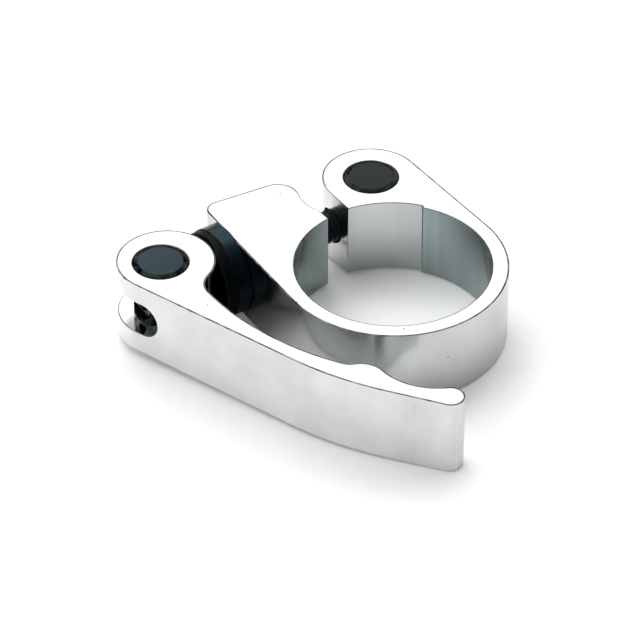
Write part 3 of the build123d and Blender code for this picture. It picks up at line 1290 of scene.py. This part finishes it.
@dataclass
class ClampBolt:
    """Bolt from the lever pin to the barrel nut, threaded at the nut's end."""

    plan: Layout
    pitch: float = 1.0
    thread_depth: float = 0.54
    thread_from: float = -9.0
    run_out: float = 1.2
    end_bevel: float = 0.4
    socket: float = 3.0
    socket_depth: float = 3.5
    socket_edge: float = 0.12
    socket_cone: float = 0.7
    thread_under: float = 0.02
    past_nut: float = 4.0

    def build(self) -> bpy.types.Object:
        """Builds the shank, the thread and the hexagon socket in the outer end.

        Returns:
            The finished piece.
        """
        p = self.plan
        outer_end = p.pin_x - math.sqrt(p.pin_radius**2 - p.bolt_radius**2)
        inner_end = p.nut_x + self.past_nut
        skin = Skin()
        self.add_side(skin, outer_end, inner_end)
        self.add_socket(skin, outer_end)
        bevel = p.bolt_radius - self.end_bevel
        end_face = np.array([[inner_end, bevel, 1.0, 0.0], [inner_end, 0.0, 1.0, 0.0]])
        spin(skin, end_face, p.bolt_line, BOLT_STEPS)
        return skin.build("bolt_and_thread")

    def add_side(self, skin: Skin, outer_end: float, inner_end: float) -> None:
        """Adds the round side, with a helical thread cut into it.

        At angle a the radius is the shank's less depth * v(x / pitch - a / turn), where v is a
        flat crest, two straight flanks and a flat root, faded in over the run-out.

        Args:
            skin: Where the surface is gathered.
            outer_end: X of the end in the lever.
            inner_end: X of the end past the nut.
        """
        p = self.plan
        bevel = self.end_bevel
        plain = [outer_end, outer_end + bevel, outer_end + 2 * bevel, self.thread_from]
        threaded = np.arange(self.thread_from, inner_end - bevel, self.pitch / 12)[1:]
        x = np.concatenate([plain, threaded, [inner_end - bevel, inner_end]])
        turn = np.linspace(0.0, 2 * math.pi, BOLT_STEPS + 1)
        phase = (x[:, None] / self.pitch - turn[None, :] / (2 * math.pi)) % 1.0
        cut = np.clip((np.abs(phase - 0.5) - 1 / 16) / (5 / 16), 0.0, 1.0)
        fade = np.clip((x - self.thread_from) / self.run_out, 0.0, 1.0)
        past_bevel = np.maximum(outer_end + bevel - x, x - inner_end + bevel)
        cap = p.bolt_radius - np.clip(past_bevel, 0.0, bevel)
        crest = p.bolt_radius - self.thread_under
        radius = np.minimum(crest - self.thread_depth * cut * fade[:, None], cap[:, None])
        radius[[0, -1]] = p.bolt_radius - bevel
        y, z = p.bolt_line
        full = np.broadcast_to(x[:, None], radius.shape)
        points = np.stack([full, y + radius * np.cos(turn), z + radius * np.sin(turn)], axis=-1)
        along = np.gradient(points, axis=0)
        round_it = np.roll(points[:, :-1], -1, axis=1) - np.roll(points[:, :-1], 1, axis=1)
        normals = unit(np.cross(round_it, along[:, :-1]))
        skin.grid(points, closed_columns(normals))

    def add_socket(self, skin: Skin, end: float) -> None:
        """Adds the outer end face, with a hexagon of radius flat / cos(a - nearest flat) in it.

        Args:
            skin: Where the surface is gathered.
            end: X of the outer end.
        """
        y, z = self.plan.bolt_line
        turn = np.linspace(0.0, 2 * math.pi, BOLT_STEPS + 1)
        from_flat = (turn + math.pi / 6) % (math.pi / 3) - math.pi / 6
        hexagon = self.socket / 2 / np.cos(from_flat)
        rings = [
            (end, np.full(len(turn), self.plan.bolt_radius - self.end_bevel)),
            (end, hexagon + self.socket_edge),
            (end + self.socket_edge, hexagon),
            (end + self.socket_depth, hexagon),
            (end + self.socket_depth + self.socket_cone, np.zeros(len(turn))),
        ]
        radius = np.array([r for _, r in rings])
        x = np.array([x for x, _ in rings])[:, None] + np.zeros(len(turn))
        points = np.stack([x, y + radius * np.cos(turn), z + radius * np.sin(turn)], axis=-1)
        flat_angle = turn - from_flat
        inward = np.stack([np.zeros(len(turn)), -np.cos(flat_angle), -np.sin(flat_angle)], axis=-1)
        face = np.tile([-1.0, 0.0, 0.0], (len(turn), 1))
        for band, normal in enumerate((face, unit(face + inward), inward, face)):
            skin.grid(points[[band, band + 1]], np.stack([normal, normal]))


@dataclass
class CamWasher:
    """Round washer between the near lug and the saddle, cut behind to the lug's taper."""

    plan: Layout
    edge: float = 0.3
    hole_radius: float = 3.25

    def build(self) -> bpy.types.Object:
        """Builds the washer as a closed profile turned about the bolt's axis, then sheared.

        A share s of the way from the front face to the back, x grows by s tan(taper) for each
        millimetre along y from the bolt's axis, and the normal's y falls by as much of its x.

        Returns:
            The finished piece.
        """
        p = self.plan
        shape = EdgeShape.bevelled(self.edge, self.edge, 0.1).rows
        low, high = p.washer_face_x, p.seat_x
        inset, below, aside, above = shape.T
        front = np.column_stack([low + below, p.washer_radius - inset, -above, aside])
        back = np.column_stack([high - below, p.washer_radius - inset, above, aside])
        skin = Skin()
        inner = np.array([[low, self.hole_radius, -1.0, 0.0], [high, self.hole_radius, 1.0, 0.0]])
        spin(skin, np.vstack([front, inner[:1]]), p.bolt_line)
        spin(skin, np.vstack([back, inner[1:]]), p.bolt_line)
        spin(skin, np.vstack([front[:1], back[:1]]), p.bolt_line)
        hole = inner.copy()
        hole[:, 2:] = [0.0, -1.0]
        spin(skin, hole, p.bolt_line)
        for points, normals in zip(skin.points, skin.normals):
            slope = (points[:, 0] - low) / (high - low) * math.tan(math.radians(p.near_taper))
            points[:, 0] += slope * (points[:, 1] - p.bolt_y)
            normals[:, 1] -= slope * normals[:, 0]
        return skin.build("washer_disc")


@dataclass
class CamSaddle:
    """Moulded saddle, flat-backed and hollowed round the cam."""

    plan: Layout
    lip: float = 2.1
    edge: float = 0.22
    hole_radius: float = 3.25

    def front(self, y: Array) -> tuple[Array, Array]:
        """Front surface: the lip's flat, or a cylinder about the lever pin where that is deeper.

        Args:
            y: Distance from the bolt's axis across the groove.

        Returns:
            X of the surface and the normal's share along y.
        """
        p = self.plan
        reach = p.saddle_bore_radius
        groove = p.pin_x + np.sqrt(np.maximum(reach**2 - y**2, 0.0))
        lip = p.washer_face_x - self.lip
        return np.maximum(groove, lip), np.where(groove > lip, -y / reach, 0.0)

    def build(self) -> bpy.types.Object:
        """Builds the saddle's hollow front, its rim, its flat back and the bolt's hole.

        Returns:
            The finished piece.
        """
        p = self.plan
        by, mid = p.bolt_line
        kink = math.sqrt(p.saddle_bore_radius**2 - (p.washer_face_x - self.lip - p.pin_x) ** 2)
        turn = np.linspace(0.0, 2 * math.pi, 145)[:-1]
        circle = np.column_stack([np.cos(turn), np.sin(turn)])
        rings = [p.saddle_radius - self.edge * (1 - math.cos(a)) for a in np.radians([0, 22, 45, 68, 90])]
        y = np.linspace(-kink, kink, 25)
        tall = np.sqrt(p.saddle_radius**2 - y**2) - 1e-3
        rails = np.column_stack([y, -tall, y, tall])
        hole = circle * self.hole_radius
        spots, faces = tile([circle * r for r in rings] + [hole], rails, rings[0] * circle, [hole])
        x, lean = self.front(spots[:, 0])
        gap = p.saddle_radius - np.linalg.norm(spots, axis=1)
        short = np.clip(self.edge - gap, 0.0, self.edge)
        x = x + self.edge - np.sqrt(np.maximum(self.edge**2 - short**2, 0.0))
        out = unit(spots) * (short / self.edge)[:, None]
        normals = np.column_stack([-np.ones(len(x)), lean + out[:, 0] * 2, out[:, 1] * 2])
        skin = Skin()
        skin.add(np.column_stack([x, spots[:, 0] + by, spots[:, 1] + mid]), unit(normals), faces)
        rim = p.saddle_radius * circle
        for loop, sign, depth in ((rim, 1.0, self.edge), (hole, -1.0, 0.0)):
            start = self.front(loop[:, 0])[0] + depth
            ends = [start, np.full(len(start), p.washer_face_x)]
            points = np.stack([np.column_stack([e, loop[:, 0] + by, loop[:, 1] + mid]) for e in ends])
            normal = np.column_stack([np.zeros(len(loop)), sign * unit(loop)])
            skin.grid(closed_columns(points), closed_columns(np.stack([normal, normal])))
        reaches = (p.saddle_radius, self.hole_radius)
        back = np.array([[p.washer_face_x, reach, 1.0, 0.0] for reach in reaches])
        spin(skin, back, p.bolt_line)
        return skin.build("saddle_moulding")


# Studio


@dataclass(frozen=True)
class Softbox:
    """One square soft light: its compass and height angle, its side in metres and its strength."""

    name: str
    azimuth: float
    elevation: float
    size: float
    strength: float


@dataclass
class Studio:
    """Camera, plain pale floor and soft lights."""

    target: Triple = (-9.18, 9.38, 0.0)
    azimuth: float = -34.2
    elevation: float = 38.28
    distance: float = 696.0
    focal_length: float = 219.0
    floor_level: float = -0.398
    floor_tilt: tuple[float, float] = (-0.847, -0.748)
    floor_lift: float = 0.12
    room_level: float = 0.17
    room_colour: Triple = (0.95, 1.0, 1.0)
    sensor_width: float = 36.0
    view_range: tuple[float, float] = (0.01, 20.0)
    floor_half: float = 2.5
    floor_colour: Triple = (0.95, 0.945, 0.95)
    lamp_distance: float = 1.2
    softboxes: tuple[Softbox, ...] = (
        Softbox("top_softbox", 146.0, 72.0, 0.7, 1.2),
        Softbox("back_softbox", 146.0, 40.0, 1.0, 1.5),
        Softbox("rear_left_softbox", 190.0, 50.0, 1.2, 2.1),
        Softbox("left_softbox", 235.0, 35.0, 1.1, 0.7),
        Softbox("right_softbox", 100.0, 38.0, 1.0, 1.7),
        Softbox("front_left_softbox", 275.0, 35.0, 0.8, 1.15),
    )

    def back(self, azimuth: float, elevation: float) -> Vector:
        """Unit vector from the clamp out along a compass angle and a height angle."""
        a, e = math.radians(azimuth), math.radians(elevation)
        return Vector((math.sin(a) * math.cos(e), -math.cos(a) * math.cos(e), math.sin(e)))

    def camera(self) -> None:
        """Places the camera at the photograph's angle and framing."""
        data = bpy.data.cameras.new("camera")
        data.lens = self.focal_length
        data.sensor_width = self.sensor_width
        data.clip_start, data.clip_end = self.view_range
        camera = bpy.data.objects.new("camera", data)
        back = self.back(self.azimuth, self.elevation)
        camera.location = Vector(self.target) * MM + back * self.distance * MM
        camera.rotation_mode = "QUATERNION"
        camera.rotation_quaternion = (-back).to_track_quat("-Z", "Y")
        bpy.context.scene.collection.objects.link(camera)
        bpy.context.scene.camera = camera

    def floor(self) -> None:
        """Lays the floor where the clamp rests: under the lever, the ring and the washer's rim."""
        half = self.floor_half
        mesh = bpy.data.meshes.new("floor")
        corners = [(-half, -half, 0), (half, -half, 0), (half, half, 0), (-half, half, 0)]
        mesh.from_pydata(corners, [], [(0, 1, 2, 3)])
        floor = bpy.data.objects.new("floor", mesh)
        floor.location = (0.0, 0.0, self.floor_level * MM)
        floor.rotation_euler = (*(math.radians(turn) for turn in self.floor_tilt), 0.0)
        bpy.context.scene.collection.objects.link(floor)
        material = bpy.data.materials.new("floor_paper")
        material.use_nodes = True
        graph = Graph(material)
        shader = material.node_tree.nodes["Principled BSDF"]
        shader.inputs["Base Color"].default_value = (*self.floor_colour, 1.0)
        shader.inputs["Roughness"].default_value = 0.9
        shader.inputs["Specular IOR Level"].default_value = 0.1
        shader.inputs["Emission Color"].default_value = (1.0, 1.0, 1.0, 1.0)
        seen = graph.add("ShaderNodeLightPath").outputs["Is Camera Ray"]
        lift = graph.maths("MULTIPLY", seen, self.floor_lift)
        material.node_tree.links.new(lift, shader.inputs["Emission Strength"])
        mesh.materials.append(material)

    def world(self) -> None:
        """Fills the room with a soft even white."""
        world = bpy.data.worlds.new("room")
        world.use_nodes = True
        tree = world.node_tree
        shade = tree.nodes["Background"]
        shade.inputs["Color"].default_value = (*self.room_colour, 1.0)
        shade.inputs["Strength"].default_value = self.room_level
        white = tree.nodes.new("ShaderNodeBackground")
        white.inputs["Strength"].default_value = 1.0
        seen = tree.nodes.new("ShaderNodeLightPath").outputs["Is Camera Ray"]
        either = tree.nodes.new("ShaderNodeMixShader")
        tree.links.new(seen, either.inputs[0])
        tree.links.new(shade.outputs[0], either.inputs[1])
        tree.links.new(white.outputs[0], either.inputs[2])
        tree.links.new(either.outputs[0], tree.nodes["World Output"].inputs["Surface"])
        bpy.context.scene.world = world

    def hang(self, box: Softbox) -> None:
        """Hangs one soft light that points at the clamp.

        Args:
            box: The light.
        """
        data = bpy.data.lights.new(box.name, "AREA")
        data.shape = "SQUARE"
        data.size = box.size
        data.energy = box.strength * math.pi * box.size**2
        lamp = bpy.data.objects.new(box.name, data)
        way = self.back(box.azimuth, box.elevation)
        lamp.location = way * self.lamp_distance
        lamp.rotation_mode = "QUATERNION"
        lamp.rotation_quaternion = (-way).to_track_quat("-Z", "Y")
        bpy.context.scene.collection.objects.link(lamp)

    def build(self) -> None:
        """Sets the whole studio up."""
        self.camera()
        self.floor()
        self.world()
        for box in self.softboxes:
            self.hang(box)
        bpy.context.scene.view_settings.view_transform = "Standard"


class Builder(Protocol):
    """A sub-assembly that makes one piece."""

    def build(self) -> bpy.types.Object:
        """Builds the piece."""


@dataclass(frozen=True)
class Part:
    """One finished piece: what builds it, what it stands for, and its body, slot and finish."""

    builder: Builder
    node: str
    body: str
    slot: str
    finish: Finish


def parts(plan: Layout) -> list[Part]:
    """Lists every piece of the clamp, from the ring outwards.

    Args:
        plan: Where the clamp's parts stand.

    Returns:
        The pieces, each with its finish.
    """
    # Span of the painted dark reflection line along the alloy's rolled edges.
    painted_edge_line_span = (0.6, 0.75, 0.9992, 0.99985)
    # Alloy colour, tint, and the colour of the painted dark reflection line on its edges.
    alloy = ((0.6, 0.615, 0.61), (0.67, 0.685, 0.68), (0.02, 0.022, 0.022))
    # Painted dark reflection on the bevels of the pins and the nut.
    painted_dark_bevel = (0.001, 0.0015, 0.0015)
    bolt_axis = (plan.bolt_y, plan.middle)
    ring_alloy = Finish(
        "polished_alloy_ring", *alloy, 0.14, 0.03, Metal.DRAWN, 0.006, specks=0.06,
        # Painted shade on the bore's wall, and the painted dark edge line.
        bore=(0.62, 0.72, 0.72), painted_edge_span=painted_edge_line_span,
        nicks=(
            Nick((-20.05, 0.5, 14.6), (0.22, 0.22, 0.3)),
            Nick((-9.0, -16.1, 14.6), (0.22, 0.22, 0.3)),
            Nick((-19.7, 9.9, 14.6), (0.2, 0.2, 0.3)),
        ),
    )
    lever_alloy = Finish(
        "polished_alloy_lever", *alloy, 0.09, 0.03, Metal.DRAWN, 0.008, specks=0.06,
        painted_edge_span=painted_edge_line_span, satin_side=(-0.9, -0.43),
        nicks=(
            Nick((-41.2, 23.2, 14.5), (0.3, 0.5, 0.3)),
            Nick((-36.8, 8.8, 14.6), (0.25, 0.25, 0.3)),
        ),
    )
    nut_steel = Finish(
        "oxide_steel_nut", (0.0085, 0.0125, 0.012), (0.012, 0.017, 0.0165), painted_dark_bevel, 0.3, 0.06,
        Metal.TURNED_Z, 0.002, (plan.nut_x, plan.bolt_y),
    )
    pin_steel = Finish(
        "oxide_steel_pin", (0.013, 0.022, 0.025), (0.018, 0.03, 0.033), painted_dark_bevel, 0.3, 0.06,
        Metal.TURNED_Z, 0.002, (plan.pin_x, plan.bolt_y),
    )
    # The bolt's edge colour, lighter than its body, is a painted highlight on the thread flanks and bevels.
    bolt_steel = Finish(
        "oxide_steel_bolt", (0.007, 0.011, 0.011), (0.014, 0.022, 0.022), (0.02, 0.028, 0.028), 0.3, 0.06,
        Metal.TURNED_X, 0.006, bolt_axis,
    )
    # The washer's edge colour is a painted dark reflection line on its bevels.
    anodised = Finish(
        "anodised_washer", (0.006, 0.015, 0.021), (0.01, 0.024, 0.032), (0.004, 0.008, 0.008), 0.3, 0.05,
        Metal.TURNED_X, 0.003, bolt_axis, 0.95,
    )
    # The saddle's edge colour, lighter than its body, is a painted highlight on its rim and lip edges.
    plastic = Finish(
        "moulded_saddle", (0.002, 0.003, 0.003), (0.004, 0.006, 0.006), (0.02, 0.022, 0.022), 0.45, 0.05,
        Metal.TURNED_X, 0.004, bolt_axis, 0.0, 0.04,
    )
    return [
        Part(ClampRing(plan), "clamp_ring", "ring", "polished_aluminium", ring_alloy),
        Part(CrossPin(plan, "nut_barrel", plan.nut_x), "barrel_nut", "ring", "black_steel", nut_steel),
        Part(ClampBolt(plan), "clamp_bolt", "bolt", "black_steel", bolt_steel),
        Part(CamWasher(plan), "cam_washer", "washer", "black_anodised", anodised),
        Part(CamSaddle(plan), "cam_saddle", "bolt", "black_plastic", plastic),
        Part(CrossPin(plan, "pivot_pin", plan.pin_x), "lever_pin", "bolt", "black_steel", pin_steel),
        Part(CamLever(plan), "lever", "lever", "polished_aluminium", lever_alloy),
    ]


def main() -> None:
    """Loads the frame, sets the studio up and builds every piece."""
    logging.basicConfig(level=logging.INFO, format="%(name)s: %(message)s")
    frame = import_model()
    Studio().build()
    for part in parts(Layout()):
        piece = part.builder.build()
        finish = part.finish.material()
        piece.data.materials.append(finish)
        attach(piece, part.body)
        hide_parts(part.node)
        frame["nodes"][part.node].data.materials.clear()
        frame["nodes"][part.node].data.materials.append(finish)
        LOG.info("%s for %s: %d triangles", piece.name, part.node, len(piece.data.polygons))


if __name__ == "__main__":
    main()
